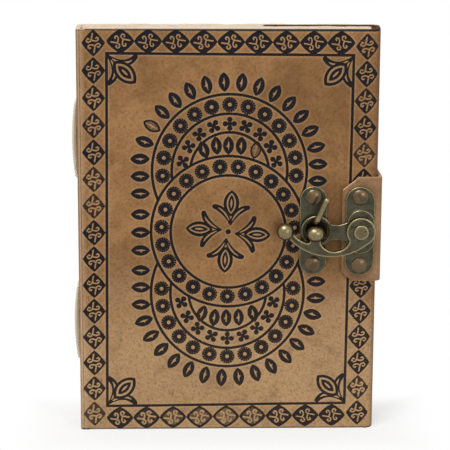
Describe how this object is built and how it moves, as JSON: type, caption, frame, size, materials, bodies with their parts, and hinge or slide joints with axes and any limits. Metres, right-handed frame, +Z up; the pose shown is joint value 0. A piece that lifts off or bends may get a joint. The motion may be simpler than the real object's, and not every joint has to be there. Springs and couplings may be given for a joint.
{
  "type": "diary with lock",
  "caption": "Leather diary with sewn sections of leaves, a tooled cover and a fore-edge strap closed by a brass swing clasp; cover, leaves, strap and arm are hinged.",
  "frame": {"origin": "on the tail edge, at the middle of the width and of the fourth section of leaves", "axes": "+Z up along the spine, front cover towards -Y, spine on -X, fore-edge and strap on +X"},
  "size_m": [0.1341, 0.0302, 0.1788],
  "materials": {
    "leather": "waxed, tooled",
    "board": "plain",
    "paper": "handmade, deckled",
    "thread": "twisted cotton",
    "aged_brass": "antiqued",
    "rivet_brass": "antiqued"
  },
  "bodies": {
    "book": {"back_leather": "leather", "back_board": "board", "spine_leather": "leather", "strap_tail": "leather", "signature_4": "paper", "signature_5": "paper", "sewing_thread_1": "thread", "sewing_thread_2": "thread", "sewing_thread_3": "thread", "sewing_thread_4": "thread", "sewing_thread_5": "thread"},
    "front_cover": {"front_leather": "leather", "front_board": "board", "signature_1": "paper", "catch_plate": "aged_brass", "catch_horn": "aged_brass", "catch_rivets": "rivet_brass", "catch_rivet_washers": "rivet_brass"},
    "front_leaves": {"signature_2": "paper"},
    "middle_leaves": {"signature_3": "paper"},
    "strap": {"strap_leather": "leather", "hasp": "aged_brass", "hasp_rivets": "rivet_brass", "hasp_rivet_washers": "rivet_brass", "pivot_rivet": "aged_brass", "pivot_washer": "aged_brass"},
    "arm": {"swing_arm": "aged_brass"}
  },
  "joints": [
    {"name": "cover_open", "type": "hinge", "parent": "book", "child": "front_cover", "pos_m": [-0.064, -0.012, 0.089], "axis": [0, 0, -1], "range_deg": [0, 175]},
    {"name": "front_leaves_turn", "type": "hinge", "parent": "book", "child": "front_leaves", "pos_m": [-0.0619, -0.0038, 0.089], "axis": [0, 0, -1], "range_deg": [0, 23]},
    {"name": "middle_leaves_turn", "type": "hinge", "parent": "book", "child": "middle_leaves", "pos_m": [-0.0619, -0.0019, 0.089], "axis": [0, 0, -1], "range_deg": [0, 13]},
    {"name": "strap_swing", "type": "hinge", "parent": "book", "child": "strap", "pos_m": [0.06605, 0.00675, 0.09135], "axis": [0, 0, 1], "range_deg": [0, 120]},
    {"name": "arm_swing", "type": "hinge", "parent": "strap", "child": "arm", "pos_m": [0.0574, -0.013, 0.0911], "axis": [0, -1, 0], "range_deg": [0, 110]}
  ],
  "couplings": [
    {"joint": "front_leaves_turn", "follows": "cover_open", "ratio": 0.13},
    {"joint": "middle_leaves_turn", "follows": "cover_open", "ratio": 0.07},
    {"joint": "strap_swing", "follows": "cover_open", "ratio": 0.685}
  ]
}
